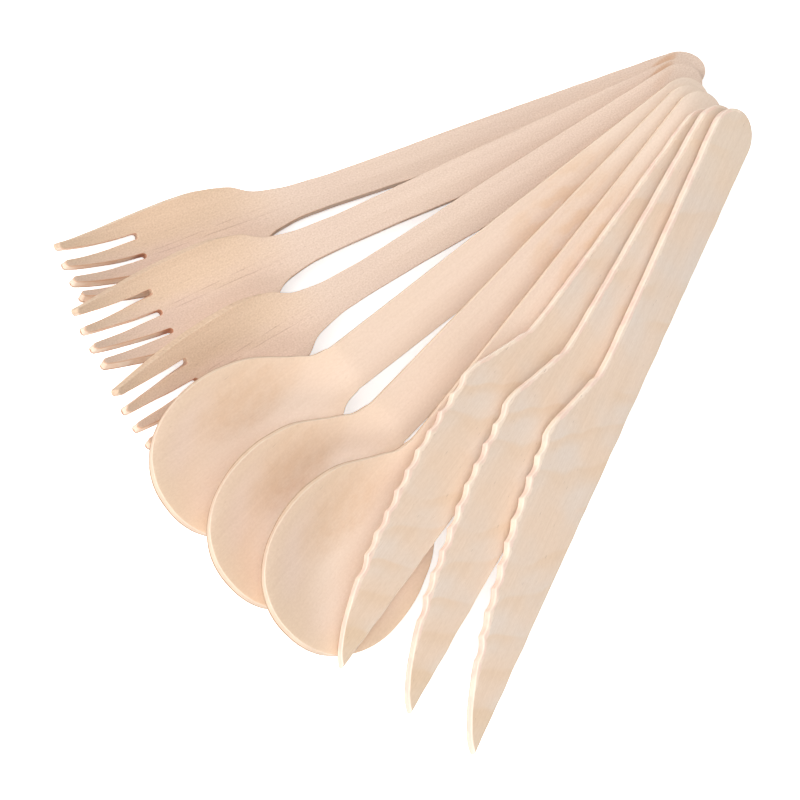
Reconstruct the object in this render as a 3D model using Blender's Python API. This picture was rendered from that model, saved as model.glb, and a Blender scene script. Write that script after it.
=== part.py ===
# Wooden cutlery pack: three forks, three spoons and three knives laid in a fan.
# Each piece is one blank of birch veneer, cut to its outline and pressed hot to its form.
# The pieces are laid one after the other, handle ends together, and each comes to rest on
# what already lies below it. Units are metres, +Z is up and the heads point to -Y.
import math

import bpy
import bmesh
import numpy as np
from mathutils import Matrix, Vector

# Veneer and pile
THICKNESS = 0.0020              # pressed veneer
REST_GAP = 0.0003               # clearance between a piece and what it rests on

# Fork
FORK_LENGTH = 0.160
FORK_END_WIDTH = 0.0102         # handle, near its round end
FORK_NECK_WIDTH = 0.0070        # handle, where the head begins
FORK_HEAD_LENGTH = 0.050        # neck to tine tips
FORK_HEAD_WIDTH = 0.0184        # widest, behind the slots
FORK_ROOT_WIDTH = 0.0178        # where the slots end
FORK_TIP_WIDTH = 0.0134         # over the four tine tips
FORK_TINES = 4
FORK_SLOT_LENGTH = 0.0175
FORK_SLOT_ROOT = 0.0011         # a slot at its round root
FORK_SLOT_MOUTH = 0.0024        # a slot between the tips
FORK_CUP_RADIUS = 0.017         # crosswise hollow of the head
FORK_DIP = 0.0030               # pressed depth of the head below the handle
FORK_TIP_RISE = 0.0030          # upward curve of the tines

# Spoon
SPOON_LENGTH = 0.162
SPOON_END_WIDTH = 0.0116
SPOON_NECK_WIDTH = 0.0104
SPOON_BOWL_LENGTH = 0.050
SPOON_BOWL_WIDTH = 0.0318
SPOON_BOWL_DEPTH = 0.0038

# Knife
KNIFE_LENGTH = 0.1565
KNIFE_END_WIDTH = 0.0108
KNIFE_GRIP_WIDTH = 0.0102       # handle, just before the blade
KNIFE_BLADE_LENGTH = 0.0640     # heel to point
KNIFE_BLADE_WIDTH = 0.0158      # at the heel
KNIFE_HEEL_LENGTH = 0.026       # slope from the handle out to the heel
KNIFE_TOOTH_PITCH = 0.0048
KNIFE_TOOTH_DEPTH = 0.0006
KNIFE_TOOTH_COUNT = 10

END_ROUND = 0.0070              # length of the rounding of every handle end

# Fan, in the order in which the pieces are laid: kind, heading from straight ahead and lean
# of the left side on the piece before, both in degrees, and place of the handle end
FAN = (
    ("fork", -20.4, 0.0, (0.0000, 0.0000)),
    ("fork", -15.6, 7.0, (0.0008, -0.0045)),
    ("fork", -9.4, 11.0, (0.0016, -0.0068)),
    ("spoon", -4.1, 14.0, (0.0050, -0.0102)),
    ("spoon", 2.4, 15.0, (0.0063, -0.0128)),
    ("spoon", 6.8, 15.0, (0.0087, -0.0134)),
    ("knife", 8.1, 16.0, (0.0121, -0.0172)),
    ("knife", 13.4, 20.0, (0.0133, -0.0160)),
    ("knife", 18.0, 23.0, (0.0158, -0.0155)),
)
PITCH_LIMIT = 9.0               # steepest slope of a resting piece, degrees

# Fineness of the work
MAP_CELL = 0.0005               # height map that the pieces are laid on
MAP_REACH = 0.25                # half its side
HEAD_CUT = 0.0027               # facets where the veneer is pressed
HANDLE_CUT = 0.0100             # facets where it stays flat


def clear_scene():
    for thing in list(bpy.data.objects):
        bpy.data.objects.remove(thing, do_unlink=True)


# Outlines. x runs from the handle end to the tip, y is the side.

def smooth(points, steps):
    # a soft curve through a few points
    line = [points[0], *points, points[-1]]
    curve = [points[0]]
    for before, start, stop, after in zip(line, line[1:], line[2:], line[3:]):
        p, q, r, s = (np.array(point) for point in (before, start, stop, after))
        for i in range(1, steps + 1):
            t = i / steps
            spot = q + (r - p) * t / 2 + (2 * p - 5 * q + 4 * r - s) * t ** 2 / 2
            spot = spot + (3 * q - p - 3 * r + s) * t ** 3 / 2
            curve.append(tuple(spot))
    return curve


def arc(x, y, radius, start, stop, steps):
    turns = [math.radians(start + (stop - start) * i / steps) for i in range(steps + 1)]
    return [(x + radius * math.cos(turn), y + radius * math.sin(turn)) for turn in turns]


def rounded_end(width, steps=5):
    # half of a handle end, from its middle to its full width
    turns = [math.radians(90 * i / steps) for i in range(steps + 1)]
    return [(END_ROUND * (1 - math.cos(turn)), width / 2 * math.sin(turn)) for turn in turns]


def both_sides(half, tip):
    # the outline from one half of it, with the points of the tip between the halves
    return [(x, -y) for x, y in half] + tip + half[:0:-1]


def fork_outline():
    neck = FORK_LENGTH - FORK_HEAD_LENGTH
    root = FORK_LENGTH - FORK_SLOT_LENGTH
    tine = (FORK_TIP_WIDTH - (FORK_TINES - 1) * FORK_SLOT_MOUTH) / FORK_TINES
    flare = (FORK_HEAD_WIDTH - FORK_NECK_WIDTH) / 2
    side = rounded_end(FORK_END_WIDTH)[:-1] + smooth([
        (END_ROUND, FORK_END_WIDTH / 2),
        (neck * 0.50, FORK_END_WIDTH * 0.30 + FORK_NECK_WIDTH * 0.20),
        (neck * 0.88, FORK_NECK_WIDTH / 2),
        (neck + FORK_HEAD_LENGTH * 0.06, FORK_NECK_WIDTH / 2 + flare * 0.20),
        (neck + FORK_HEAD_LENGTH * 0.20, FORK_NECK_WIDTH / 2 + flare * 0.78),
        (neck + FORK_HEAD_LENGTH * 0.36, FORK_HEAD_WIDTH / 2),
        (root, FORK_ROOT_WIDTH / 2),
        (FORK_LENGTH - tine / 2, FORK_TIP_WIDTH / 2)], 3)
    tip = []
    middle = (FORK_TINES - 1) / 2
    root_step = (FORK_ROOT_WIDTH + FORK_SLOT_ROOT) / FORK_TINES
    for i in range(FORK_TINES):
        centre = (i - middle) * (tine + FORK_SLOT_MOUTH)
        turn = arc(FORK_LENGTH - tine / 2, centre, tine / 2, -90, 90, 4)
        tip += turn[1:] if i == 0 else turn
        if i < FORK_TINES - 1:
            tip += arc(root, (i + 0.5 - middle) * root_step, FORK_SLOT_ROOT / 2, 270, 90, 4)
    return both_sides(side, tip[:-1])


def spoon_outline():
    bowl = SPOON_LENGTH - SPOON_BOWL_LENGTH
    flare = (SPOON_BOWL_WIDTH - SPOON_NECK_WIDTH) / 2
    neck = SPOON_NECK_WIDTH / 2
    widest = bowl + SPOON_BOWL_LENGTH * 0.60
    side = rounded_end(SPOON_END_WIDTH)[:-1] + smooth([
        (END_ROUND, SPOON_END_WIDTH / 2),
        (bowl * 0.90, neck),
        (bowl + SPOON_BOWL_LENGTH * 0.07, neck + flare * 0.03),
        (bowl + SPOON_BOWL_LENGTH * 0.18, neck + flare * 0.27),
        (bowl + SPOON_BOWL_LENGTH * 0.34, neck + flare * 0.74),
        (bowl + SPOON_BOWL_LENGTH * 0.47, neck + flare * 0.93),
        (bowl + SPOON_BOWL_LENGTH * 0.54, neck + flare * 0.985),
        (widest, SPOON_BOWL_WIDTH / 2)], 3)
    turns = [math.radians(90 * i / 8) for i in range(1, 9)]
    front = [(widest + (SPOON_LENGTH - widest) * math.sin(turn) ** 0.90,
              SPOON_BOWL_WIDTH / 2 * max(math.cos(turn), 0.0) ** 0.90) for turn in turns]
    return both_sides(side + front[:-1], [(SPOON_LENGTH, 0.0)])


def knife_edge():
    # the blade's cutting side, with shallow teeth from the heel on
    heel = KNIFE_LENGTH - KNIFE_BLADE_LENGTH
    shares = [(0.0, 1.0), (0.15, 0.955), (0.31, 0.885), (0.45, 0.79), (0.66, 0.625),
              (0.80, 0.45), (0.90, 0.29), (0.965, 0.14), (1.0, 0.0)]
    belly = np.array([(heel + KNIFE_BLADE_LENGTH * s, KNIFE_BLADE_WIDTH * w)
                      for s, w in smooth(shares, 4)])
    teeth = heel + KNIFE_TOOTH_PITCH * np.arange(4 * KNIFE_TOOTH_COUNT + 1) / 4
    depth = KNIFE_TOOTH_DEPTH * np.abs(np.sin(np.pi * (teeth - heel) / KNIFE_TOOTH_PITCH))
    edge = list(zip(teeth, np.interp(teeth, belly[:, 0], belly[:, 1]) - depth))
    return edge + [tuple(spot) for spot in belly if spot[0] > teeth[-1] + KNIFE_TOOTH_PITCH / 4]


def knife_outline():
    # the spine is straight, the handle widens to the heel on the cutting side only
    heel = KNIFE_LENGTH - KNIFE_BLADE_LENGTH
    spine = KNIFE_END_WIDTH / 2
    grow = KNIFE_BLADE_WIDTH - KNIFE_GRIP_WIDTH
    low = rounded_end(KNIFE_END_WIDTH)[:-1] + smooth([
        (END_ROUND, spine),
        (heel - KNIFE_HEEL_LENGTH, KNIFE_GRIP_WIDTH - spine),
        (heel - KNIFE_HEEL_LENGTH * 0.60, KNIFE_GRIP_WIDTH + grow * 0.25 - spine),
        (heel - KNIFE_HEEL_LENGTH * 0.16, KNIFE_GRIP_WIDTH + grow * 0.90 - spine),
        (heel, KNIFE_BLADE_WIDTH - spine)], 3)[:-1]
    low += [(x, width - spine) for x, width in knife_edge()]
    return [(x, -y) for x, y in low] + rounded_end(KNIFE_END_WIDTH)[:0:-1]


# Pressed forms: the height of the middle of the veneer over the handle's plane

def fork_form(x, y):
    neck = FORK_LENGTH - FORK_HEAD_LENGTH
    along = min(max((x - neck) / FORK_HEAD_LENGTH, 0.0), 1.0)
    cupped = min(along / 0.45, 1.0)
    cup = FORK_CUP_RADIUS - math.sqrt(FORK_CUP_RADIUS ** 2 - y ** 2)
    dip = FORK_DIP * 6.75 * along ** 2 * (1 - along)
    return FORK_TIP_RISE * along ** 3 - dip + cup * cupped ** 2 * (3 - 2 * cupped)


def spoon_form(x, y):
    reach = SPOON_BOWL_LENGTH * 0.51
    lengthwise = (x - SPOON_LENGTH + SPOON_BOWL_LENGTH * 0.49) / reach
    crosswise = y / (SPOON_BOWL_WIDTH * 0.53)
    inside = max(0.0, 1 - lengthwise ** 2 - crosswise ** 2)
    return -SPOON_BOWL_DEPTH * inside ** 1.35


def flat_form(x, y):
    return 0.0


KINDS = {
    "fork": (fork_outline, fork_form, FORK_LENGTH, FORK_HEAD_LENGTH, (0.60, 0.43, 0.28)),
    "spoon": (spoon_outline, spoon_form, SPOON_LENGTH, SPOON_BOWL_LENGTH, (0.70, 0.52, 0.36)),
    "knife": (knife_outline, flat_form, KNIFE_LENGTH, 0.0, (0.68, 0.52, 0.38)),
}


# Work on a blank

def cut_blank(name, outline):
    # a flat piece of veneer with the given outline, as a clean mesh
    curve = bpy.data.curves.new(name, "CURVE")
    curve.dimensions = "2D"
    curve.fill_mode = "BOTH"
    curve.extrude = THICKNESS / 2
    spline = curve.splines.new("POLY")
    spline.points.add(len(outline) - 1)
    for point, (x, y) in zip(spline.points, outline):
        point.co = (x, y, 0.0, 1.0)
    spline.use_cyclic_u = True
    holder = bpy.data.objects.new(name, curve)
    bpy.context.scene.collection.objects.link(holder)
    evaluated = holder.evaluated_get(bpy.context.evaluated_depsgraph_get())
    mesh = bpy.data.meshes.new_from_object(evaluated)
    bpy.data.objects.remove(holder, do_unlink=True)
    blank = bmesh.new()
    blank.from_mesh(mesh)
    bmesh.ops.remove_doubles(blank, verts=blank.verts, dist=0.00001)
    inner = [edge for edge in blank.edges if edge.calc_face_angle(1.0) < 0.001]
    bmesh.ops.dissolve_edges(blank, edges=inner, use_verts=False)
    return blank, mesh


def score_blank(blank, length, head):
    # cuts across and along, so that the veneer can bend where it is pressed
    width = max(vert.co.y for vert in blank.verts)
    rows = max(1, round((length - head) / HANDLE_CUT))
    cuts = [((length - head) * i / rows, 0) for i in range(1, rows)]
    if head:
        columns = round(head / HEAD_CUT)
        cuts += [(length - head + head * i / columns, 0) for i in range(columns)]
        lines = 2 * math.ceil(width / HEAD_CUT)
        cuts += [(0, width * (2 * i / lines - 1)) for i in range(1, lines)]
    for x, y in cuts:
        normal = (1, 0, 0) if x else (0, 1, 0)
        everything = blank.verts[:] + blank.edges[:] + blank.faces[:]
        bmesh.ops.bisect_plane(blank, geom=everything, dist=0.00001,
                               plane_co=(x, y, 0), plane_no=normal)


def press_blank(blank, form):
    step = 0.0001
    for vert in blank.verts:
        x, y, offset = vert.co
        slope_x = (form(x + step, y) - form(x - step, y)) / (2 * step)
        slope_y = (form(x, y + step) - form(x, y - step)) / (2 * step)
        normal = Vector((-slope_x, -slope_y, 1)).normalized()
        vert.co = Vector((x, y, form(x, y))) + offset * normal


def make_kind(name):
    outline, form, length, head, colour = KINDS[name]
    blank, mesh = cut_blank(name, outline())
    score_blank(blank, length, head)
    press_blank(blank, form)
    bmesh.ops.recalc_face_normals(blank, faces=blank.faces)
    bmesh.ops.triangulate(blank, faces=blank.faces)
    blank.to_mesh(mesh)
    blank.free()
    mesh.materials.append(wood(name + "_birch", colour, 0.62))
    return mesh


def wood(name, colour, roughness):
    material = bpy.data.materials.new(name)
    material.use_nodes = True
    shader = material.node_tree.nodes["Principled BSDF"]
    shader.inputs["Base Color"].default_value = (*colour, 1.0)
    shader.inputs["Roughness"].default_value = roughness
    shader.inputs["Metallic"].default_value = 0.0
    return material


# Laying the pile

def surface_points(mesh):
    # points all over a mesh, closer together than the cells of the height map
    mesh.calc_loop_triangles()
    corners = np.array([[mesh.vertices[v].co for v in tri.vertices] for tri in mesh.loop_triangles])
    sides = np.linalg.norm(corners - np.roll(corners, 1, axis=1), axis=2).max(axis=1)
    counts = np.ceil(sides / MAP_CELL).astype(int)
    clouds = []
    for count in np.unique(counts):
        shares = np.array([(i, j, count - i - j) for i in range(count + 1)
                           for j in range(count + 1 - i)]) / count
        clouds.append(np.einsum("sc,tcx->tsx", shares, corners[counts == count]).reshape(-1, 3))
    return np.concatenate(clouds)


def turned(heading, lean, pitch):
    turn = Matrix.Rotation(math.radians(heading - 90), 3, "Z")
    turn = turn @ Matrix.Rotation(math.radians(pitch), 3, "Y")
    return turn @ Matrix.Rotation(-math.radians(lean), 3, "X")


def rest_on(pile, points, end, heading, lean):
    # the pitch and height at which a piece lies lowest on the pile
    def lie(pitch):
        placed = points @ np.array(turned(heading, lean, pitch)).T + (*end, 0.0)
        cells = tuple(((placed[:, :2] + MAP_REACH) / MAP_CELL).astype(int).T)
        under = np.full(pile.shape, np.inf)
        np.minimum.at(under, cells, placed[:, 2])
        placed[:, 2] += np.max(pile + REST_GAP - under)
        return placed[:, 2].mean(), placed, cells

    low, high = -PITCH_LIMIT, PITCH_LIMIT
    while high - low > 0.02:
        third = (high - low) / 3
        if lie(low + third)[0] < lie(high - third)[0]:
            high -= third
        else:
            low += third
    pitch = (low + high) / 2
    _, placed, cells = lie(pitch)
    np.maximum.at(pile, cells, placed[:, 2])
    height = placed[0, 2] - (points[0] @ np.array(turned(heading, lean, pitch)).T)[2]
    return Matrix.Translation((*end, height)) @ turned(heading, lean, pitch).to_4x4()


def lay_fan(collection):
    meshes = {name: make_kind(name) for name in KINDS}
    clouds = {name: surface_points(mesh) for name, mesh in meshes.items()}
    side = int(2 * MAP_REACH / MAP_CELL)
    pile = np.full((side, side), -REST_GAP)
    pieces = []
    for place, (kind, heading, lean, end) in enumerate(FAN):
        number = 1 + sum(row[0] == kind for row in FAN[:place])
        piece = bpy.data.objects.new(f"{kind}_{number}", meshes[kind])
        collection.objects.link(piece)
        piece.matrix_world = rest_on(pile, clouds[kind], end, heading, lean)
        pieces.append(piece)
    return pieces


def centre_on_floor(pieces):
    # origin in the middle of the pack's footprint, on the surface that it lies on
    corners = np.array([piece.matrix_world @ vert.co for piece in pieces
                        for vert in piece.data.vertices])
    low, high = corners.min(axis=0), corners.max(axis=0)
    shift = Vector((-(low[0] + high[0]) / 2, -(low[1] + high[1]) / 2, -low[2]))
    for piece in pieces:
        piece.matrix_world = Matrix.Translation(shift) @ piece.matrix_world


def main():
    clear_scene()
    collection = bpy.data.collections.new("wooden_cutlery_pack")
    bpy.context.scene.collection.children.link(collection)
    centre_on_floor(lay_fan(collection))


main()
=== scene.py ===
import math
import bpy
import numpy as np
from mathutils import Matrix, Vector, noise


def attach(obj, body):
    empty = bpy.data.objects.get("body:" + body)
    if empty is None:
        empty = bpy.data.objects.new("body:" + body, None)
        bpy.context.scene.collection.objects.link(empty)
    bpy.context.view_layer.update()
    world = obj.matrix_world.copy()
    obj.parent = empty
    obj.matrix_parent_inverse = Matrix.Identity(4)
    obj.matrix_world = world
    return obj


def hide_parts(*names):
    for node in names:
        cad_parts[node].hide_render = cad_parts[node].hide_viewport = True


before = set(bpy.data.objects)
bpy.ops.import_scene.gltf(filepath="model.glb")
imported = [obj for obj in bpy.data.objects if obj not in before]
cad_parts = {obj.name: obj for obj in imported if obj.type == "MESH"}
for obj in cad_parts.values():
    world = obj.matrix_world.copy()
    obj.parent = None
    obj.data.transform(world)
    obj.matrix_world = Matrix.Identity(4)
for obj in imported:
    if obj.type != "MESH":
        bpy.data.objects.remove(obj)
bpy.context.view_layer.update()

mm = 0.001

# the whole pack: what all nine pieces share
pack = {
    "thickness": 2.0 * mm,
    "edgeSteps": 4,              # facets of the tumbled rim
    "outlineStep": 0.7 * mm,     # spacing of the points of an outline
    "endRound": 7.0 * mm,        # length of the rounding of a handle end
    "wanderLength": 5 * mm,      # over which the die strays to and fro
    "cockle": 0.035 * mm,        # veneer is never quite flat after the press
    "cockleLength": 19 * mm,
    "handleCut": 2.0 * mm,       # facets where the veneer stays flat
    "headCut": 1.0 * mm,         # facets where it is pressed, and everywhere across
    "layerCut": 0.35 * mm,       # how far from the middle the wall is cut
    "wallHeight": 0.03 * mm,     # a face that spans more of the thickness is cut wall
    "smoothAngle": 40,           # degrees
    "sideStrip": 0.7 * mm,       # from the widest place to the first cut along the piece
    "gripSpan": (112 * mm, 98 * mm),   # where the handle's cut wall starts to take its own colour, lighter on the spoons as painted light
    "copies": 3,
}


def deselectAll():
    if bpy.context.object and bpy.context.object.mode != "OBJECT":
        bpy.ops.object.mode_set(mode="OBJECT")
    bpy.ops.object.select_all(action="DESELECT")


def softCurve(points, step):
    # a flowing line through a few points, with even spacing
    line = [points[0], *points, points[-1]]
    curve = [points[0]]
    for before, start, stop, after in zip(line, line[1:], line[2:], line[3:]):
        p, q, r, s = (np.array(point) for point in (before, start, stop, after))
        steps = max(1, round(float(np.linalg.norm(r - q)) / step))
        for i in range(1, steps + 1):
            t = i / steps
            spot = q + (r - p) * t / 2 + (2 * p - 5 * q + 4 * r - s) * t ** 2 / 2
            spot = spot + (3 * q - p - 3 * r + s) * t ** 3 / 2
            curve.append(tuple(spot))
    return curve


def arcPoints(x, y, radius, start, stop, steps):
    turns = [math.radians(start + (stop - start) * i / steps) for i in range(steps + 1)]
    return [(x + radius * math.cos(turn), y + radius * math.sin(turn)) for turn in turns]


def handleEnd(width, steps=14):
    # half of the round handle end, from its middle to its full width
    turns = [math.radians(90 * i / steps) for i in range(steps + 1)]
    return [(pack["endRound"] * (1 - math.cos(turn)), width / 2 * math.sin(turn))
            for turn in turns]


def bothSides(half, tip):
    return [(x, -y) for x, y in half] + tip + half[:0:-1]


def unevenCut(outline, amount, seed):
    # the die leaves a line that wanders by up to about a tenth of a millimetre
    points = np.array(outline)
    along = np.roll(points, -1, axis=0) - np.roll(points, 1, axis=0)
    outward = np.stack([along[:, 1], -along[:, 0]], axis=1)
    outward /= np.linalg.norm(outward, axis=1)[:, None]
    length = pack["wanderLength"]
    for point, away in zip(points, outward):
        spot = Vector((point[0] / length, point[1] / length, seed))
        point += away * noise.noise(spot) * amount
    return [tuple(point) for point in points]


def cutBlank(name, outline, edgeRound):
    # a disc of veneer whose rim is drawn out to the outline, thickened and tumbled;
    # it stays in edit mode, for the cuts that follow
    deselectAll()
    thick = pack["thickness"]
    bpy.ops.mesh.primitive_circle_add(vertices=len(outline), radius=10 * mm, fill_type="NGON")
    blank = bpy.context.object
    blank.name = blank.data.name = name
    for vertex, (x, y) in zip(blank.data.vertices, outline):
        vertex.co = (x, y, -thick / 2)
    bpy.ops.object.mode_set(mode="EDIT")
    bpy.ops.mesh.select_all(action="SELECT")
    bpy.ops.mesh.extrude_region_move(TRANSFORM_OT_translate={"value": (0, 0, thick)})
    bpy.ops.mesh.select_all(action="SELECT")
    bpy.ops.mesh.normals_make_consistent(inside=False)
    bpy.ops.mesh.select_all(action="DESELECT")
    bpy.ops.object.mode_set(mode="OBJECT")
    vertices = blank.data.vertices
    for edge in blank.data.edges:
        first, second = (vertices[i].co.z for i in edge.vertices)
        edge.select = abs(first - second) < thick / 2
    bpy.ops.object.mode_set(mode="EDIT")
    bpy.ops.mesh.select_mode(type="EDGE")
    bpy.ops.mesh.bevel(offset=edgeRound, offset_type="OFFSET", affect="EDGES",
                       segments=pack["edgeSteps"], profile=0.5, clamp_overlap=False)
    return blank


def scoreBlank(rows, columns, layers):
    # cuts across, along and through, so that the veneer can take the form of the press
    cuts = [((x, 0, 0), (1, 0, 0)) for x in rows]
    cuts += [((0, y, 0), (0, 1, 0)) for y in columns]
    cuts += [((0, 0, z), (0, 0, 1)) for z in layers]
    for place, direction in cuts:
        bpy.ops.mesh.select_all(action="SELECT")
        bpy.ops.mesh.bisect(plane_co=place, plane_no=direction, threshold=0.00001)
    bpy.ops.object.mode_set(mode="OBJECT")


def keepBlankPlaces(blank, outline):
    # every point remembers where it was in the flat sheet, and how far in from the cut:
    # the grain follows the first, and the pale crushed margin follows the second
    mesh = blank.data
    flat = np.zeros(len(mesh.vertices) * 3)
    mesh.vertices.foreach_get("co", flat)
    mesh.attributes.new("blank", "FLOAT_VECTOR", "POINT")
    mesh.attributes["blank"].data.foreach_set("vector", flat)
    starts = np.array(outline)
    steps = np.roll(starts, -1, axis=0) - starts
    spots = flat.reshape(-1, 3)[:, None, :2] - starts
    shares = np.clip((spots * steps).sum(axis=2) / (steps ** 2).sum(axis=1), 0.0, 1.0)
    gaps = np.linalg.norm(spots - shares[:, :, None] * steps, axis=2).min(axis=1)
    mesh.attributes.new("inset", "FLOAT", "POINT")
    mesh.attributes["inset"].data.foreach_set("value", gaps.astype(np.float32))


def pressBlank(blank, form, seed):
    # every point moves to the pressed form, square to it, and the form cockles a little
    step = 0.1 * mm
    reach = pack["cockleLength"]
    for vertex in blank.data.vertices:
        x, y, offset = vertex.co
        slopeX = (form(x + step, y) - form(x - step, y)) / (2 * step)
        slopeY = (form(x, y + step) - form(x, y - step)) / (2 * step)
        away = Vector((-slopeX, -slopeY, 1)).normalized()
        cockle = pack["cockle"] * noise.noise(Vector((x / reach, y / reach, seed)))
        vertex.co = Vector((x, y, form(x, y) + cockle)) + offset * away


def finishPiece(piece, look):
    # the cut wall is pale, except where it was pressed over with the face
    mesh = piece.data
    faceMaterial, edgeMaterial = pressedFace(look), cutEdge(look)
    mesh.materials.clear()
    mesh.materials.append(faceMaterial)
    mesh.materials.append(edgeMaterial)
    flat = np.array([item.vector for item in mesh.attributes["blank"].data])
    for face in mesh.polygons:
        corners = flat[list(face.vertices)]
        wall = np.ptp(corners[:, 2]) > pack["wallHeight"]
        if wall and "pressedOver" in look:
            x, y = corners[:, :2].mean(axis=0)
            wall = not any(start < x < stop and y < side
                           for start, stop, side in look["pressedOver"])
        face.material_index = int(wall)
    deselectAll()
    piece.select_set(True)
    bpy.context.view_layer.objects.active = piece
    bpy.ops.object.shade_smooth_by_angle(angle=math.radians(pack["smoothAngle"]))
    weights = piece.modifiers.new("evenShade", "WEIGHTED_NORMAL")
    weights.keep_sharp = True
    bpy.ops.object.modifier_apply(modifier=weights.name)


def massFrame(mesh):
    # centre of mass and main axes: along the piece, across it, and out of its upper face
    mesh.calc_loop_triangles()
    corners = np.array([[mesh.vertices[i].co for i in tri.vertices]
                        for tri in mesh.loop_triangles])
    share = np.einsum("ti,ti->t", corners[:, 0], np.cross(corners[:, 1], corners[:, 2]))
    centre = np.einsum("t,tci->i", share, corners) / share.sum() / 4
    arms = corners - centre
    share = np.einsum("ti,ti->t", arms[:, 0], np.cross(arms[:, 1], arms[:, 2]))
    total = arms.sum(axis=1)
    spread = np.einsum("t,tci,tcj->ij", share, arms, arms)
    spread += np.einsum("t,ti,tj->ij", share, total, total)
    axes = np.linalg.eigh(spread)[1]
    long, out = axes[:, 2], axes[:, 0]
    if np.sum(share * (total @ long) ** 3) < 0:
        long = -long
    if out[2] < 0:
        out = -out
    turn = Matrix(np.stack([long, np.cross(out, long), out], axis=1).tolist())
    return Matrix.Translation(centre.tolist()) @ turn.to_4x4()


def seatPieces(model, kind):
    # three copies of the modelled piece, each lying where its solid lies in the pack
    ownFrame = massFrame(model.data).inverted()
    for number in range(1, pack["copies"] + 1):
        node = f"{kind}_{number}"
        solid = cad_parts[node].data.copy()
        seat = massFrame(solid)
        bpy.data.meshes.remove(solid)
        piece = bpy.data.objects.new(f"veneer_{node}", model.data.copy())
        piece.data.name = piece.name
        bpy.context.scene.collection.objects.link(piece)
        piece.data.transform(seat @ ownFrame)
        piece.data.update()
        sheet = piece.data.attributes.new("sheet", "FLOAT", "POINT")
        sheet.data.foreach_set("value", [float(number)] * len(piece.data.vertices))
        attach(piece, "root")
        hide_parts(node)
    bpy.data.objects.remove(model)


# Materials

# birch veneer: what all three kinds share, with the real size of each pattern
# along, across and through the sheet, in mm
wood = {
    "ior": 1.47,
    "sheen": 0.06,
    "noiseRoughness": 0.55,
    "sheetShift": (0.3 * mm, 0.2 * mm, 0.0),   # of the patterns, from piece to piece
    "toneWeights": (0.75, 1.0, 1.3),   # for red, green and blue: darker wood is also redder
    "figureLimits": (0.28, 0.72),
    "blushLimits": (0.45, 0.7),
    "blushTurn": -30,
    "streakSize": (55, 1.1, 4),        # growth layers
    "fineSize": (9, 0.24, 2),          # vessels, lengthwise
    "fleckSize": (2.6, 0.26, 1.0),
    "fleckBorder": 0.05,
    "satin": (0.07, 0.09),             # how much smoother and rougher growth layers are
    "raggedSize": (1.5, 1.0, 2.0),     # the crushed margin
    "raggedReach": 1.0 * mm,
    "marginBorder": 0.15 * mm,
    "marginPale": 0.85,
    "cuttingSide": (0.0, -1.5 * mm),
    "turnsSize": (3.6, 5.0, 3.0),      # cream and pink by turns along the cut
    "turnsLimits": (0.42, 0.60),
    "cutRoughness": 0.72,
    "cutRelief": 0.07 * mm,
    "fibreSize": (5.0, 5.0, 0.16),     # crushed fibres
    "fibreAmount": 0.09,
    "tornSize": (0.7, 0.7, 0.5),
    "tornAmount": 0.05,
    "fineHeight": 0.6,                 # shares of the relief
    "stippleHeight": 0.5,
    "fleckHeight": -0.5,
    "tornHeight": 0.8,
    "rimSpan": (0.66 * mm, 0.80 * mm),   # of the painted rim line, from the middle of the sheet
    "gripWallShare": 0.85,
    # painted contact shadow: how dark the lower part of the cut gets, and its soft border
    "underShadowAmount": 0.75,
    "underShadowBorder": 0.2 * mm,
}


def hexColour(code):
    shares = [int(code[i:i + 2], 16) / 255 for i in (1, 3, 5)]
    linear = [s / 12.92 if s <= 0.04045 else ((s + 0.055) / 1.055) ** 2.4 for s in shares]
    return (*linear, 1.0)


def addNode(tree, kind, inputs=None, **settings):
    # an input that is another node's output is linked, and any other is set
    node = tree.nodes.new("ShaderNode" + kind)
    for name, value in settings.items():
        setattr(node, name, value)
    for socket, value in (inputs or {}).items():
        if isinstance(value, bpy.types.NodeSocket):
            tree.links.new(value, node.inputs[socket])
        else:
            node.inputs[socket].default_value = value
    return node


def newWood(name, roughness):
    material = bpy.data.materials.new(name)
    material.use_nodes = True
    tree = material.node_tree
    shader = tree.nodes["Principled BSDF"]
    shader.inputs["IOR"].default_value = wood["ior"]
    shader.inputs["Roughness"].default_value = roughness
    shader.inputs["Sheen Weight"].default_value = wood["sheen"]
    return material, tree, shader


def sheetPlace(tree):
    # the place in the flat sheet, the same shifted from piece to piece, and the piece's number
    blank = addNode(tree, "Attribute", attribute_name="blank").outputs["Vector"]
    sheet = addNode(tree, "Attribute", attribute_name="sheet").outputs
    place = addNode(tree, "VectorMath", {0: sheet["Vector"], 1: wood["sheetShift"], 2: blank},
                    operation="MULTIPLY_ADD").outputs[0]
    return blank, place, sheet["Fac"]


def grain(tree, place, size, detail=2.0, turn=0.0, shift=0.0):
    # a pattern with the given real size along, across and through the sheet, in mm
    mapping = addNode(tree, "Mapping", {"Vector": place,
                                        "Location": (shift, shift * 0.7, 0.0),
                                        "Rotation": (0.0, 0.0, math.radians(turn)),
                                        "Scale": [1000 / width for width in size]})
    return addNode(tree, "TexNoise", {"Vector": mapping.outputs[0], "Scale": 1.0,
                                      "Detail": detail,
                                      "Roughness": wood["noiseRoughness"]}).outputs["Fac"]


def grainPatches(tree, place, size, limits, **settings):
    # 0 where the pattern is under the first limit, 1 where it is over the second
    pattern = grain(tree, place, size, **settings)
    return addNode(tree, "MapRange", {"Value": pattern, "From Min": limits[0],
                                      "From Max": limits[1]},
                   interpolation_type="SMOOTHSTEP").outputs[0]


def stretch(tree, place, axis, start, stop):
    # 0 up to start and 1 from stop on, along one axis of the sheet
    split = addNode(tree, "SeparateXYZ", {0: place})
    return addNode(tree, "MapRange", {"Value": split.outputs[axis], "From Min": start,
                                      "From Max": stop},
                   interpolation_type="SMOOTHSTEP").outputs[0]


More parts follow.
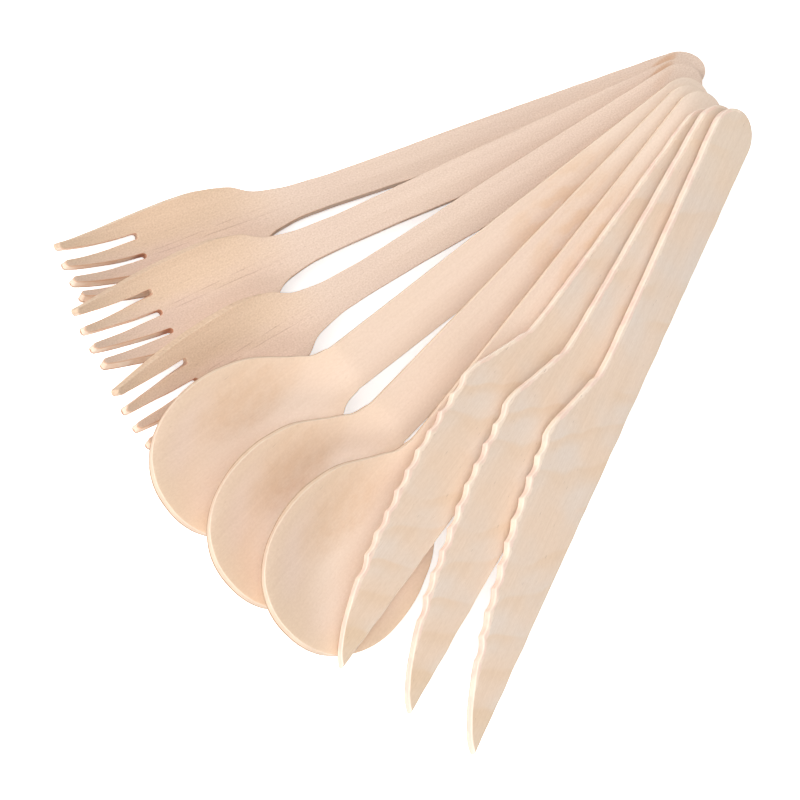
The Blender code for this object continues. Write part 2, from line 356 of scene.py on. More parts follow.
def oval(tree, blank, centre, size, edge, turn=0.0):
    # 1 in an oval place in the sheet and 0 outside it: edge gives both borders as squared radii
    spot = addNode(tree, "Mapping", {"Vector": blank, "Location": (*centre, 0.0),
                                     "Rotation": (0.0, 0.0, math.radians(turn)),
                                     "Scale": (*size, 1.0)}, vector_type="TEXTURE").outputs[0]
    reach = addNode(tree, "VectorMath", {0: spot, 1: spot}, operation="DOT_PRODUCT")
    return addNode(tree, "MapRange", {"Value": reach.outputs["Value"], "From Min": edge[0],
                                      "From Max": edge[1]},
                   interpolation_type="SMOOTHSTEP").outputs[0]


def waver(tree, blank, place, size, reach, **settings):
    # the place in the sheet, pushed to and fro by a pattern
    pattern = grain(tree, place, size, **settings)
    push = addNode(tree, "MapRange", {"Value": pattern, "To Min": -reach, "To Max": reach})
    return addNode(tree, "VectorMath", {0: blank, 1: push.outputs[0]},
                   operation="ADD").outputs[0]


def addUp(tree, total, *parts):
    # a sum of patterns, each with its own weight
    for pattern, weight in parts:
        total = addNode(tree, "Math", {0: pattern, 1: weight, 2: total},
                        operation="MULTIPLY_ADD").outputs[0]
    return total


def toneWood(tree, colour, start, *parts):
    # each pattern darkens and lightens by its amount
    weights = wood["toneWeights"]
    middle = sum(amount for pattern, amount in parts)
    tone = addUp(tree, start, *((pattern, 2 * amount) for pattern, amount in parts))
    factor = addNode(tree, "VectorMath", {0: tone, 1: weights,
                                          2: [1 - middle * weight for weight in weights]},
                     operation="MULTIPLY_ADD")
    return addNode(tree, "VectorMath", {0: colour, 1: factor.outputs[0]},
                   operation="MULTIPLY").outputs[0]


def stain(tree, colour, over, amount, *masks):
    # the wood takes another colour where all the masks are 1
    for mask in masks:
        amount = addNode(tree, "Math", {0: mask, 1: amount}, operation="MULTIPLY").outputs[0]
    over = hexColour(over) if isinstance(over, str) else over
    return addNode(tree, "Mix", {0: amount, 6: colour, 7: over}, data_type="RGBA").outputs[2]


def paleCut(tree, place, look):
    # freshly cut birch, cream and faintly pink by turns along the edge
    turns = grainPatches(tree, place, wood["turnsSize"], wood["turnsLimits"], detail=1.0,
                         shift=2.0)
    return stain(tree, hexColour(look["edgeCream"]), look["edgePink"], 1.0, turns)


def crushedMargin(tree, blank, place, margin):
    # a ragged strip beside the cut, on the cutting side of the sheet only
    inset = addNode(tree, "Attribute", attribute_name="inset").outputs["Fac"]
    ragged = grain(tree, place, wood["raggedSize"], detail=3.0, shift=1.5)
    gap = addUp(tree, -wood["raggedReach"] / 2, (inset, 1.0), (ragged, wood["raggedReach"]))
    border = wood["marginBorder"]
    strip = addNode(tree, "MapRange", {"Value": gap, "From Min": margin + border,
                                       "From Max": margin - border},
                    interpolation_type="SMOOTHSTEP").outputs[0]
    return strip, stretch(tree, blank, "Y", *wood["cuttingSide"])


def pressedFace(look):
    # hot pressed birch veneer: satin, fine straight pores, a soft figure across the grain
    material, tree, shader = newWood(look["faceName"], look["roughness"])
    blank, place, sheet = sheetPlace(tree)
    figure = grainPatches(tree, place, look["figureSize"], wood["figureLimits"],
                          turn=look["figureTurn"], shift=look["seed"])
    colour = stain(tree, hexColour(look["cool"]), look["warm"], 1.0, figure)
    blush = grainPatches(tree, place, look["blushSize"], wood["blushLimits"], detail=1.0,
                         turn=wood["blushTurn"], shift=look["seed"] + 4)
    colour = stain(tree, colour, *look["blush"], blush)
    colour = look["marks"](tree, blank, place, sheet, colour)
    if "margin" in look:
        colour = stain(tree, colour, paleCut(tree, place, look), wood["marginPale"],
                       *crushedMargin(tree, blank, place, look["margin"]))
    streak = grain(tree, place, wood["streakSize"], detail=3.0)
    fine = grain(tree, place, wood["fineSize"])
    stipple = grain(tree, place, look["stippleSize"])
    paler = addUp(tree, -pack["copies"] * look["sheetTone"], (sheet, look["sheetTone"]))
    colour = toneWood(tree, colour, paler, (streak, look["streakAmount"]),
                      (fine, look["fineAmount"]), (stipple, look["stippleAmount"]))
    limit = look["fleckLimit"]
    flecks = grainPatches(tree, place, wood["fleckSize"], (limit, limit + wood["fleckBorder"]),
                          detail=1.0, shift=9.0)
    colour = stain(tree, colour, *look["fleck"], flecks)
    tree.links.new(colour, shader.inputs["Base Color"])
    smoother, rougher = wood["satin"]
    satin = addNode(tree, "MapRange", {"Value": streak, "From Min": 0.25, "From Max": 0.75,
                                       "To Min": look["roughness"] - smoother,
                                       "To Max": look["roughness"] + rougher})
    tree.links.new(satin.outputs[0], shader.inputs["Roughness"])
    height = addUp(tree, 0.0, (fine, wood["fineHeight"]), (stipple, wood["stippleHeight"]),
                   (flecks, wood["fleckHeight"]))
    bump = addNode(tree, "Bump", {"Strength": 1.0, "Distance": look["relief"],
                                  "Height": height})
    tree.links.new(bump.outputs[0], shader.inputs["Normal"])
    return material


def cutEdge(look):
    # die cut birch: matt and paler than the face, with crushed fibres along the sheet
    material, tree, shader = newWood(look["edgeName"], wood["cutRoughness"])
    blank, place = sheetPlace(tree)[:2]
    fibre = grain(tree, place, wood["fibreSize"])
    torn = grain(tree, place, wood["tornSize"], shift=5.0)
    colour = toneWood(tree, paleCut(tree, place, look), 0.0,
                      (fibre, wood["fibreAmount"]), (torn, wood["tornAmount"]))
    bothFaces = addNode(tree, "VectorMath", {0: blank}, operation="ABSOLUTE").outputs[0]
    # the top and bottom of the cut get a painted line: a painted highlight on spoons and
    # knives, and painted shade on forks
    colour = stain(tree, colour, *look["rim"], stretch(tree, bothFaces, "Z", *wood["rimSpan"]))
    # the cut wall along the handle takes its own colour: like the face on forks, and lighter on
    # spoons as painted light against the shade between the stacked handles
    if "gripEdge" in look:
        colour = stain(tree, colour, look["gripEdge"], wood["gripWallShare"],
                       stretch(tree, blank, "X", *pack["gripSpan"]))
    # painted contact shadow: the lower part of the cut is darker
    under = look["underShadowFrom"]
    colour = stain(tree, colour, look["underShadowTint"], wood["underShadowAmount"],
                   stretch(tree, blank, "Z", under, under - wood["underShadowBorder"]))
    if "scorch" in look:
        colour = look["scorch"](tree, blank, colour)
    tree.links.new(colour, shader.inputs["Base Color"])
    height = addUp(tree, 0.0, (fibre, 1.0), (torn, wood["tornHeight"]))
    bump = addNode(tree, "Bump", {"Strength": 1.0, "Distance": wood["cutRelief"],
                                  "Height": height})
    tree.links.new(bump.outputs[0], shader.inputs["Normal"])
    return material


# Forks

fork = {
    "length": 160 * mm,
    "endWidth": 10.2 * mm,
    "neckWidth": 7.0 * mm,
    "headLength": 50 * mm,
    "headWidth": 18.4 * mm,
    "rootWidth": 17.8 * mm,
    "tipWidth": 13.4 * mm,
    "tines": 4,
    "slotLength": 17.5 * mm,
    "slotRoot": 1.1 * mm,
    "slotMouth": 2.4 * mm,
    "cupRadius": 17 * mm,
    "cuppedBy": 0.45,            # the share of the head over which the cup grows
    "dip": 3.0 * mm,
    "tipRise": 3.0 * mm,
    "edgeRound": 0.18 * mm,      # the tumbled rim
    "cutWander": 0.08 * mm,      # how far the die strays
    "faceName": "birchFaceMottled",
    "edgeName": "birchEdgePeach",
    "seed": 1.0,
    "roughness": 0.56,
    "cool": "#e3c6b4",
    "warm": "#e6cab3",
    "blush": ("#e1c2ad", 0.6),   # a colour and its amount, here and below
    "fleck": ("#8f6346", 0.3),
    "fleckLimit": 0.73,
    "gripEdge": "#efd6c2",       # the cut wall along the handle, coloured like the face
    # painted contact shadow on the lower part of the cut
    "underShadowTint": "#bd8c6b",
    "underShadowFrom": -0.5 * mm,
    # wall pressed over with the face: from, to and beyond which side line
    "pressedOver": ((104 * mm, 142 * mm, -3.4 * mm), (141 * mm, 161 * mm, -5.55 * mm)),
    "edgeCream": "#f9e2cd",
    "edgePink": "#f5d6bd",
    # painted shade: a tan line at the top and bottom of the cut
    "rim": ("#dba882", 0.6),
    "figureSize": (14, 7, 4),
    "figureTurn": 18,
    "blushSize": (26, 9, 4),
    "stippleSize": (0.42, 0.34, 1.0),  # ends of cut vessels
    "stippleAmount": 0.27,
    "streakAmount": 0.07,
    "fineAmount": 0.05,
    "sheetTone": 0.0,
    "relief": 0.035 * mm,
    "gripTint": ("#ecd3c0", 0.75),
    "headShares": (-0.05, 0.25),       # of the head's length: where its tints fade in
    "endTint": ("#f3dac7", 0.5),       # paler towards the end of the handle
    "endSpan": (62 * mm, 20 * mm),
    "farTint": ("#e3c5a7", 0.8),       # the yellower half of the head, also darkened as painted shade against the lamps that light it more
    "farSpan": (1.5 * mm, -4.5 * mm),
    "nearTint": ("#e6c9b4", 0.7),      # the mauve half, also lightened as painted light
    "nearSpan": (0.5 * mm, 4.5 * mm),
    "fibreTint": ("#a8765a", 0.36),    # fine lines of darker fibres down the middle
    "fibreLines": ((0.5 * mm, 3.0), (-0.7 * mm, 7.0)),   # side, and where its noise starts
    "fibreBend": ((26, 60, 4), 0.6 * mm),   # size of a pattern, and how far it pushes
    "fibreSpan": (0.16 * mm, 0.02 * mm),    # from the middle of a line
    "fibreBreaks": ((4.5, 30, 4), (0.33, 0.60)),   # size of a pattern, and its limits
    "halfBend": ((9, 5, 4), 2.5 * mm),      # the uneven border between the halves
    "flameTint": "#dba97f",            # a mineral streak near the handle end
    "flamePlace": (9.2 * mm, -3.4 * mm),
    "flameSize": (4.8 * mm, 1.1 * mm),
    "flameTurn": 12,
    "flameEdge": (1.15, 0.1),
    "flameStrength": (0.65, 0.15),     # on the first two forks and on the third
    "scorchTint": "#c07e5a",           # the punch browns the roots of the slots
    "scorchAlong": ((3.2 * mm, 0.2 * mm), (-1.4 * mm, -0.9 * mm)),   # from where a slot ends
    "scorchSide": (-4.0 * mm, -1.5 * mm),
    "scorchWidth": (0.46, 0.42),       # shares of the root's width, from the middle
    "scorchStrength": (0.4, 0.45),     # everywhere, and what the near side adds
}


def forkOutline(step):
    neck = fork["length"] - fork["headLength"]
    root = fork["length"] - fork["slotLength"]
    tine = (fork["tipWidth"] - (fork["tines"] - 1) * fork["slotMouth"]) / fork["tines"]
    flare = (fork["headWidth"] - fork["neckWidth"]) / 2
    side = handleEnd(fork["endWidth"])[:-1] + softCurve([
        (pack["endRound"], fork["endWidth"] / 2),
        (neck * 0.50, fork["endWidth"] * 0.30 + fork["neckWidth"] * 0.20),
        (neck * 0.88, fork["neckWidth"] / 2),
        (neck + fork["headLength"] * 0.06, fork["neckWidth"] / 2 + flare * 0.20),
        (neck + fork["headLength"] * 0.20, fork["neckWidth"] / 2 + flare * 0.78),
        (neck + fork["headLength"] * 0.36, fork["headWidth"] / 2),
        (root, fork["rootWidth"] / 2),
        (fork["length"] - tine / 2, fork["tipWidth"] / 2)], step)
    tip = []
    middle = (fork["tines"] - 1) / 2
    rootStep = (fork["rootWidth"] + fork["slotRoot"]) / fork["tines"]
    for i in range(fork["tines"]):
        centre = (i - middle) * (tine + fork["slotMouth"])
        turn = arcPoints(fork["length"] - tine / 2, centre, tine / 2, -90, 90, 12)
        tip += turn[1:] if i == 0 else turn
        if i < fork["tines"] - 1:
            bottom = arcPoints(root, (i + 0.5 - middle) * rootStep, fork["slotRoot"] / 2,
                               270, 90, 10)
            inward = softCurve([turn[-1], bottom[0]], step)
            outward = softCurve([bottom[-1], (turn[-1][0], turn[-1][1] + fork["slotMouth"])],
                                step)
            tip += inward[1:-1] + bottom + outward[1:-1]
    return bothSides(side, tip[:-1])


def forkForm(x, y):
    neck = fork["length"] - fork["headLength"]
    along = min(max((x - neck) / fork["headLength"], 0.0), 1.0)
    cupped = min(along / fork["cuppedBy"], 1.0)
    cup = fork["cupRadius"] - math.sqrt(fork["cupRadius"] ** 2 - y ** 2)
    # along ** 2 * (1 - along) is 1 / 6.75 at its highest
    dip = fork["dip"] * 6.75 * along ** 2 * (1 - along)
    return fork["tipRise"] * along ** 3 - dip + cup * cupped ** 2 * (3 - 2 * cupped)


def forkMarks(tree, blank, place, sheet, colour):
    # the far half of the head is yellower and a little darker, as painted shade, and the near
    # half mauve and a little lighter, as painted light
    neck = fork["length"] - fork["headLength"]
    headSpan = [neck + share * fork["headLength"] for share in fork["headShares"]]
    onHead = stretch(tree, blank, "X", *headSpan)
    onGrip = stretch(tree, blank, "X", *headSpan[::-1])
    colour = stain(tree, colour, *fork["gripTint"], onGrip)
    colour = stain(tree, colour, *fork["endTint"], stretch(tree, blank, "X", *fork["endSpan"]))
    uneven = waver(tree, blank, place, *fork["halfBend"], turn=20, shift=3.5)
    for half in ("far", "near"):
        side = stretch(tree, uneven, "Y", *fork[f"{half}Span"])
        colour = stain(tree, colour, *fork[f"{half}Tint"], side, onHead)
    for offset, shift in fork["fibreLines"]:
        bent = waver(tree, blank, place, *fork["fibreBend"], detail=1.0, shift=shift)
        aside = addNode(tree, "VectorMath", {0: bent, 1: (0.0, offset, 0.0)},
                        operation="SUBTRACT").outputs[0]
        aside = addNode(tree, "VectorMath", {0: aside}, operation="ABSOLUTE").outputs[0]
        line = stretch(tree, aside, "Y", *fork["fibreSpan"])
        broken = grainPatches(tree, place, *fork["fibreBreaks"], detail=3.0, shift=shift + 3)
        colour = stain(tree, colour, *fork["fibreTint"], line, broken, onHead)
    flame = oval(tree, blank, fork["flamePlace"], fork["flameSize"], fork["flameEdge"],
                 fork["flameTurn"])
    second, third = fork["flameStrength"]
    strength = addNode(tree, "MapRange", {"Value": sheet, "From Min": 2.0, "From Max": 3.0,
                                          "To Min": second, "To Max": third}).outputs[0]
    return stain(tree, colour, fork["flameTint"], 1.0, flame, strength)


def slotScorch(tree, blank, colour):
    # strongest on the near side, and only between the outer tines
    slotEnd = fork["length"] - fork["slotLength"]
    masks = [stretch(tree, blank, "X", slotEnd + start, slotEnd + stop)
             for start, stop in fork["scorchAlong"]]
    fromMiddle = addNode(tree, "VectorMath", {0: blank}, operation="ABSOLUTE").outputs[0]
    borders = [fork["rootWidth"] * share for share in fork["scorchWidth"]]
    masks.append(stretch(tree, fromMiddle, "Y", *borders))
    side = stretch(tree, blank, "Y", *fork["scorchSide"])
    everywhere, added = fork["scorchStrength"]
    masks.append(addUp(tree, everywhere, (side, added)))
    return stain(tree, colour, fork["scorchTint"], 1.0, *masks)


fork["marks"] = forkMarks
fork["scorch"] = slotScorch


# Spoons

spoon = {
    "length": 162 * mm,
    "endWidth": 11.6 * mm,
    "neckWidth": 10.4 * mm,
    "bowlLength": 50 * mm,
    "bowlWidth": 31.8 * mm,
    "bowlDepth": 3.8 * mm,
    "hollowMiddle": 0.49,        # of the bowl's length, from the tip
    "hollowLength": 0.51,        # half the hollow's length and width, as shares of the bowl's
    "hollowWidth": 0.53,
    "hollowPower": 1.35,         # over 1, the hollow fades out at the rim
    "edgeRound": 0.16 * mm,
    "cutWander": 0.03 * mm,
    "faceName": "birchFaceSmooth",
    "edgeName": "birchEdgeCream",
    "seed": 3.0,
    "roughness": 0.50,
    "cool": "#f0d6c0",
    "warm": "#eed2b8",
    "blush": ("#f1d6c4", 0.6),
    "fleck": ("#9c7152", 0.25),
    "fleckLimit": 0.76,
    # painted light: the cut wall along the handle, lighter than the face against the shade
    # between the stacked handles
    "gripEdge": "#f6dfc8",
    "underShadowTint": "#b58a66",      # painted contact shadow on the lower part of the cut
    "underShadowFrom": -0.3 * mm,
    "edgeCream": "#ebd1b8",
    "edgePink": "#e7cbb2",
    # painted highlight: a pale line at the top and bottom of the cut
    "rim": ("#fdeddb", 0.30),
    "figureSize": (24, 11, 6),
    "figureTurn": 32,
    "blushSize": (30, 18, 6),
    "stippleSize": (0.7, 0.45, 1.0),
    "stippleAmount": 0.10,
    "streakAmount": 0.05,
    "fineAmount": 0.035,
    "sheetTone": 0.0,
    "relief": 0.02 * mm,
    "neckTint": ("#f4dac5", 0.6),      # the handle and neck are pinker
    "neckSpan": (14 * mm, -6 * mm),    # from where the bowl starts
    "endTint": ("#fbe7d4", 0.75),      # and paler towards the end
    "endSpan": (50 * mm, 15 * mm),
    "lipTint": ("#edd0b0", 0.5),       # round the rim of the bowl
    "lipLength": 20 * mm,              # over which it grows from the start of the bowl
    "bowlLightTint": "#fff0e2",            # painted light: a pale place in the bowl, against the shade under the spoon above it
    "bowlLightPlace": (-24 * mm, 4 * mm),  # from the tip
    "bowlLightSize": (20 * mm, 12 * mm),
    "bowlLightFade": 0.6,                  # from the middle spoon to the others
    "patchTint": "#e5c3a3",            # a browner mottled place beside it
    "patchPlace": (-28 * mm, -7.5 * mm),
    "patchSize": (16 * mm, 7 * mm),
    "patchStrength": (0.35, 0.35),     # everywhere, and what its mottle adds
    "mottle": ((3.0, 1.7, 3), (0.30, 0.70)),   # size of a pattern, and its limits
    "glowTint": ("#ecc6a0", 0.45),     # amber clouds on the handle
    "glowPlace": (48 * mm, 0.0),
    "glowSize": (22 * mm, 8 * mm),
    "clouds": ((9, 3, 3), (0.40, 0.62)),
}


def spoonMarks(tree, blank, place, sheet, colour):
    # the middle spoon gets the most painted light in its bowl, against the shade under the
    # spoon above it, and all three have the same browner patch
    length, bowl = spoon["length"], spoon["length"] - spoon["bowlLength"]
    start, stop = spoon["neckSpan"]
    colour = stain(tree, colour, *spoon["neckTint"],
                   stretch(tree, blank, "X", bowl + start, bowl + stop))
    colour = stain(tree, colour, *spoon["endTint"],
                   stretch(tree, blank, "X", *spoon["endSpan"]))
    lip = oval(tree, blank, (length - spoon["hollowMiddle"] * spoon["bowlLength"], 0.0),
               (0.50 * spoon["bowlLength"], 0.5 * spoon["bowlWidth"]), (0.55, 1.0))
    colour = stain(tree, colour, *spoon["lipTint"], lip,
                   stretch(tree, blank, "X", bowl, bowl + spoon["lipLength"]))
    # painted light: a pale place in the bowl that fills in the shade under the spoon above it
    along, side = spoon["bowlLightPlace"]
    bowlLight = oval(tree, blank, (length + along, side), spoon["bowlLightSize"], (1.1, 0.1))
    fromMiddle = addNode(tree, "Math", {0: addUp(tree, -2.0, (sheet, 1.0))},
                         operation="ABSOLUTE").outputs[0]
    colour = stain(tree, colour, spoon["bowlLightTint"], 1.0, bowlLight,
                   addUp(tree, 1.0, (fromMiddle, -spoon["bowlLightFade"])))
    along, side = spoon["patchPlace"]
    patch = oval(tree, blank, (length + along, side), spoon["patchSize"], (1.1, 0.1))
    mottle = grainPatches(tree, place, *spoon["mottle"], detail=4.0, turn=28, shift=5.5)
    everywhere, added = spoon["patchStrength"]
    colour = stain(tree, colour, spoon["patchTint"], 1.0, patch,
                   addUp(tree, everywhere, (mottle, added)))
    glow = oval(tree, blank, spoon["glowPlace"], spoon["glowSize"], (1.1, 0.0))
    clouds = grainPatches(tree, place, *spoon["clouds"], turn=20, shift=8.5)
    return stain(tree, colour, *spoon["glowTint"], glow, clouds)


spoon["marks"] = spoonMarks


def spoonOutline(step):
    bowl = spoon["length"] - spoon["bowlLength"]
    neck = spoon["neckWidth"] / 2
    flare = (spoon["bowlWidth"] - spoon["neckWidth"]) / 2
    widest = bowl + spoon["bowlLength"] * 0.60
    side = handleEnd(spoon["endWidth"])[:-1] + softCurve([
        (pack["endRound"], spoon["endWidth"] / 2),
        (bowl * 0.90, neck),
        (bowl + spoon["bowlLength"] * 0.07, neck + flare * 0.03),
        (bowl + spoon["bowlLength"] * 0.18, neck + flare * 0.27),
        (bowl + spoon["bowlLength"] * 0.34, neck + flare * 0.74),
        (bowl + spoon["bowlLength"] * 0.47, neck + flare * 0.93),
        (bowl + spoon["bowlLength"] * 0.54, neck + flare * 0.985),
        (widest, spoon["bowlWidth"] / 2)], step)
    turns = [math.radians(90 * i / 36) for i in range(1, 36)]
    front = [(widest + (spoon["length"] - widest) * math.sin(turn) ** 0.90,
              spoon["bowlWidth"] / 2 * math.cos(turn) ** 0.90) for turn in turns]
    return bothSides(side + front, [(spoon["length"], 0.0)])


def spoonForm(x, y):
    reach = spoon["bowlLength"] * spoon["hollowLength"]
    middle = spoon["bowlLength"] * spoon["hollowMiddle"]
    lengthwise = (x - spoon["length"] + middle) / reach
    crosswise = y / (spoon["bowlWidth"] * spoon["hollowWidth"])
    inside = max(0.0, 1 - lengthwise ** 2 - crosswise ** 2)
    return -spoon["bowlDepth"] * inside ** spoon["hollowPower"]


# Knives

knife = {
    "length": 156.5 * mm,
    "endWidth": 10.8 * mm,
    "gripWidth": 10.2 * mm,
    "bladeLength": 64 * mm,
    "bladeWidth": 15.8 * mm,
    "heelLength": 26 * mm,
    "toothPitch": 4.8 * mm,
    "toothDepth": 0.6 * mm,
    "toothCount": 10,
    "edgeRound": 0.32 * mm,
    "cutWander": 0.15 * mm,
    "faceName": "birchFaceBanded",
    "edgeName": "birchEdgeBanded",
    "seed": 5.0,
    "roughness": 0.52,
    "cool": "#e9d8c9",
    "warm": "#edd3bb",
    "blush": ("#f0d8c3", 0.3),
    "fleck": ("#8e6b52", 0.4),
    "fleckLimit": 0.74,
    # painted contact shadow on the lower part of the cut
    "underShadowTint": "#bb9273",
    "underShadowFrom": -0.6 * mm,
    "edgeCream": "#fce9d5",
    "edgePink": "#f8dccb",
    # painted highlight: a pale line at the top and bottom of the cut
    "rim": ("#fdebd9", 0.35),
    "margin": 0.75 * mm,         # pale crushed fibres beside the cut
    "figureSize": (15, 13, 6),
    "figureTurn": 24,
    "blushSize": (22, 16, 6),
    "stippleSize": (1.1, 0.45, 1.0),
    "stippleAmount": 0.08,
    "streakAmount": 0.06,
    "fineAmount": 0.07,
    "sheetTone": 0.03,           # how much lighter each sheet is than the one under it
    "relief": 0.025 * mm,
    "bandTint": ("#e8caac", 0.55),     # rippled grain: bands slanting across the piece
    "bandLength": 9.5 * mm,
    "bandSlant": 0.74,
    "bandWander": 8 * mm,
    "wanderSize": (26, 15, 6),
    "bandRise": (0.0, 0.12),           # shares of a band's length
    "bandFade": (0.62, 0.10),
    "bandPatches": ((18, 12, 6), (0.34, 0.62)),   # where the bands show most
    "gripTint": ("#f0d8bf", 0.6),
    "gripPlace": (4 * mm, 0.0),
    "gripSize": (22 * mm, 12 * mm),
    "tipTint": ("#e6c9a6", 0.5),
    "tipSize": (11 * mm, 9 * mm),
}


def knifeMarks(tree, blank, place, sheet, colour):
    # rippled birch: each band starts with a tan line and fades to grey, and the tip is warm
    slanted = addNode(tree, "VectorMath", {0: place, 1: (1.0, knife["bandSlant"], 0.0)},
                      operation="DOT_PRODUCT").outputs["Value"]
    wander = grain(tree, place, knife["wanderSize"], shift=2.5)
    bands = addUp(tree, -knife["bandWander"], (wander, 2 * knife["bandWander"]), (slanted, 1.0))
    bands = addNode(tree, "Math", {0: bands, 1: knife["bandLength"]}, operation="DIVIDE")
    phase = addNode(tree, "Math", {0: bands.outputs[0]}, operation="FRACT").outputs[0]
    rise, fade = [addNode(tree, "MapRange", {"Value": phase, "From Min": start,
                                             "From Max": stop},
                          interpolation_type="SMOOTHSTEP").outputs[0]
                  for start, stop in (knife["bandRise"], knife["bandFade"])]
    strong = grainPatches(tree, place, *knife["bandPatches"], detail=1.0, shift=6.5)
    colour = stain(tree, colour, *knife["bandTint"], rise, fade, strong)
    grip = oval(tree, blank, knife["gripPlace"], knife["gripSize"], (1.1, 0.2))
    colour = stain(tree, colour, *knife["gripTint"], grip)
    tip = oval(tree, blank, (knife["length"], 0.5 * knife["endWidth"]), knife["tipSize"],
               (1.1, 0.2))
    return stain(tree, colour, *knife["tipTint"], tip)


knife["marks"] = knifeMarks


def knifeEdge(step):
    # the blade's cutting side, with shallow teeth from the heel on
    heel = knife["length"] - knife["bladeLength"]
    shares = [(0.0, 1.0), (0.15, 0.955), (0.31, 0.885), (0.45, 0.79), (0.66, 0.625),
              (0.80, 0.45), (0.90, 0.29), (0.965, 0.14), (1.0, 0.0)]
    belly = np.array(softCurve([(heel + knife["bladeLength"] * s, knife["bladeWidth"] * w)
                                for s, w in shares], step))
    pitch = knife["toothPitch"]
    teeth = heel + pitch * np.arange(8 * knife["toothCount"] + 1) / 8
    depth = knife["toothDepth"] * np.abs(np.sin(np.pi * (teeth - heel) / pitch))
    edge = list(zip(teeth, np.interp(teeth, belly[:, 0], belly[:, 1]) - depth))
    return edge + [tuple(spot) for spot in belly if spot[0] > teeth[-1] + pitch / 8]


def knifeOutline(step):
    # the spine is straight, the handle widens to the heel on the cutting side only
    heel = knife["length"] - knife["bladeLength"]
    spine = knife["endWidth"] / 2
    grow = knife["bladeWidth"] - knife["gripWidth"]
    low = handleEnd(knife["endWidth"])[:-1] + softCurve([
        (pack["endRound"], spine),
        (heel - knife["heelLength"], knife["gripWidth"] - spine),
        (heel - knife["heelLength"] * 0.60, knife["gripWidth"] + grow * 0.25 - spine),
        (heel - knife["heelLength"] * 0.16, knife["gripWidth"] + grow * 0.90 - spine),
        (heel, knife["bladeWidth"] - spine)], step)[:-1]
    low += [(x, width - spine) for x, width in knifeEdge(step)]
    back = softCurve([low[-1], (pack["endRound"], -spine)], step)
    return [(x, -y) for x, y in low] + [(x, -y) for x, y in back[1:-1]] + (
        handleEnd(knife["endWidth"])[:0:-1])


def flatForm(x, y):
    return 0.0


kinds = {
    "fork": (fork, forkOutline, forkForm, fork["headLength"], "fork_birch"),
    "spoon": (spoon, spoonOutline, spoonForm, spoon["bowlLength"], "spoon_birch"),
    "knife": (knife, knifeOutline, flatForm, 0.0, "knife_birch"),
}
for kind, (look, outline, form, head, slotName) in kinds.items():
    contour = unevenCut(outline(pack["outlineStep"]), look["cutWander"], look["seed"])
    blank = cutBlank(f"{kind}Blank", contour, look["edgeRound"])
    start = look["length"] - head
    width = max(abs(y) for x, y in contour)
    rows = list(np.arange(pack["handleCut"], start, pack["handleCut"]))
    rows += list(np.arange(start, look["length"], pack["headCut"]))
    columns = list(np.arange(-width + pack["sideStrip"], width, pack["headCut"]))
    scoreBlank(rows, columns, (-pack["layerCut"], pack["layerCut"]))
    keepBlankPlaces(blank, contour)
    pressBlank(blank, form, look["seed"])
    finishPiece(blank, look)
    print(f"{kind}: {len(blank.data.polygons)} faces, cut, scored and pressed")
    seatPieces(blank, kind)
    print(f"{kind}: three pieces laid in the fan")


# Studio

studio = {
    "floorSize": 6.0,
    "floorSeen": 1.20,           # colour of the floor where the camera sees it
    "floorGlow": 0.52,           # and the light that it adds there, which thins its shadows
    "floorGrey": "#dedede",      # what it gives back to the pieces
    "floorRoughness": 0.9,
    "floorSpecular": 0.1,
    "skyStrength": 0.36,
    "lampDistance": 1.4,
    "lamps": {                   # power, size, azimuth, elevation
        "frontLamp": (7.2, 1.0, 266, 66),
        "leftLamp": (8.6, 0.8, 218, 33),
        "rightLamp": (7.2, 0.8, 306, 28),
    },
}


def cameraSeen(tree):
    # 1 where the camera, a reflection or a see-through surface looks at it
    path = addNode(tree, "LightPath").outputs
    seen = path["Is Camera Ray"]
    for kind in ("Is Glossy Ray", "Is Transmission Ray"):
        seen = addNode(tree, "Math", {0: seen, 1: path[kind]}, operation="MAXIMUM").outputs[0]
    return seen


def layFloor():
    deselectAll()
    bpy.ops.mesh.primitive_plane_add(size=studio["floorSize"])
    floor = bpy.context.object
    floor.name = "studioFloor"
    material = bpy.data.materials.new("paperSweep")
    material.use_nodes = True
    tree = material.node_tree
    shader = tree.nodes["Principled BSDF"]
    shader.inputs["Roughness"].default_value = studio["floorRoughness"]
    shader.inputs["Specular IOR Level"].default_value = studio["floorSpecular"]
    shown = studio["floorSeen"]
    looked = cameraSeen(tree)
    paper = addNode(tree, "Mix", {0: looked, 6: hexColour(studio["floorGrey"]),
                                  7: (shown, shown, shown, 1.0)}, data_type="RGBA")
    tree.links.new(paper.outputs[2], shader.inputs["Base Color"])
    glow = addNode(tree, "Math", {0: looked, 1: studio["floorGlow"]}, operation="MULTIPLY")
    shader.inputs["Emission Color"].default_value = (1.0, 1.0, 1.0, 1.0)
    tree.links.new(glow.outputs[0], shader.inputs["Emission Strength"])
    floor.data.materials.append(material)


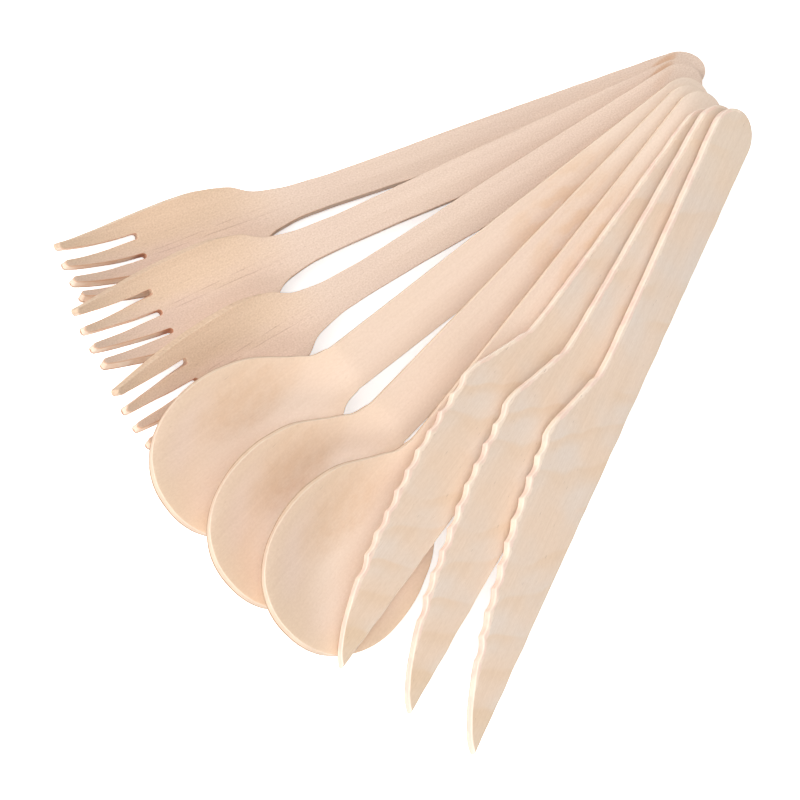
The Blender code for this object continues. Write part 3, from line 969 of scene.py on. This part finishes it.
def lightSky():
    world = bpy.data.worlds.new("softRoom")
    world.use_nodes = True
    bpy.context.scene.world = world
    tree = world.node_tree
    background = tree.nodes["Background"]
    background.inputs["Color"].default_value = (1.0, 1.0, 1.0, 1.0)
    strength = addNode(tree, "MapRange", {"Value": cameraSeen(tree),
                                          "To Min": studio["skyStrength"], "To Max": 1.0})
    tree.links.new(strength.outputs[0], background.inputs["Strength"])


def around(azimuth, elevation):
    turn, rise = math.radians(azimuth), math.radians(elevation)
    return Vector((math.cos(rise) * math.cos(turn), math.cos(rise) * math.sin(turn),
                   math.sin(rise)))


def hangLamp(name, power, size, azimuth, elevation):
    lamp = bpy.data.lights.new(name, "AREA")
    lamp.shape = "DISK"
    lamp.energy = power
    lamp.size = size
    holder = bpy.data.objects.new(name, lamp)
    direction = around(azimuth, elevation)
    holder.matrix_world = (Matrix.Translation(direction * studio["lampDistance"])
                           @ direction.to_track_quat("Z", "Y").to_matrix().to_4x4())
    bpy.context.scene.collection.objects.link(holder)


# the photograph's view: from above and in front, with the picture turned on its side
view = {
    "azimuth": 281.4,
    "elevation": 64.0,
    "distance": 440 * mm,
    "lookAt": (5.65 * mm, -31.66 * mm, 8.0 * mm),
    "roll": -34.0,
    "lens": 96.85,
    "sensor": 36.0,
}


def setCamera():
    away = around(view["azimuth"], view["elevation"])
    right = Vector((0.0, 0.0, 1.0)).cross(away).normalized()
    above = away.cross(right)
    roll = math.radians(view["roll"])
    side = right * math.cos(roll) - above * math.sin(roll)
    top = right * math.sin(roll) + above * math.cos(roll)
    camera = bpy.data.cameras.new("photoCamera")
    camera.lens = view["lens"]
    camera.sensor_width = view["sensor"]
    camera.clip_start = 0.01
    holder = bpy.data.objects.new("photoCamera", camera)
    place = Vector(view["lookAt"]) + away * view["distance"]
    turn = Matrix((side, top, away)).transposed()
    holder.matrix_world = Matrix.Translation(place) @ turn.to_4x4()
    bpy.context.scene.collection.objects.link(holder)
    bpy.context.scene.camera = holder


layFloor()
lightSky()
for name, settings in studio["lamps"].items():
    hangLamp(name, *settings)
setCamera()
bpy.context.scene.view_settings.view_transform = "Standard"
print("studio: floor, lamps and camera in place")
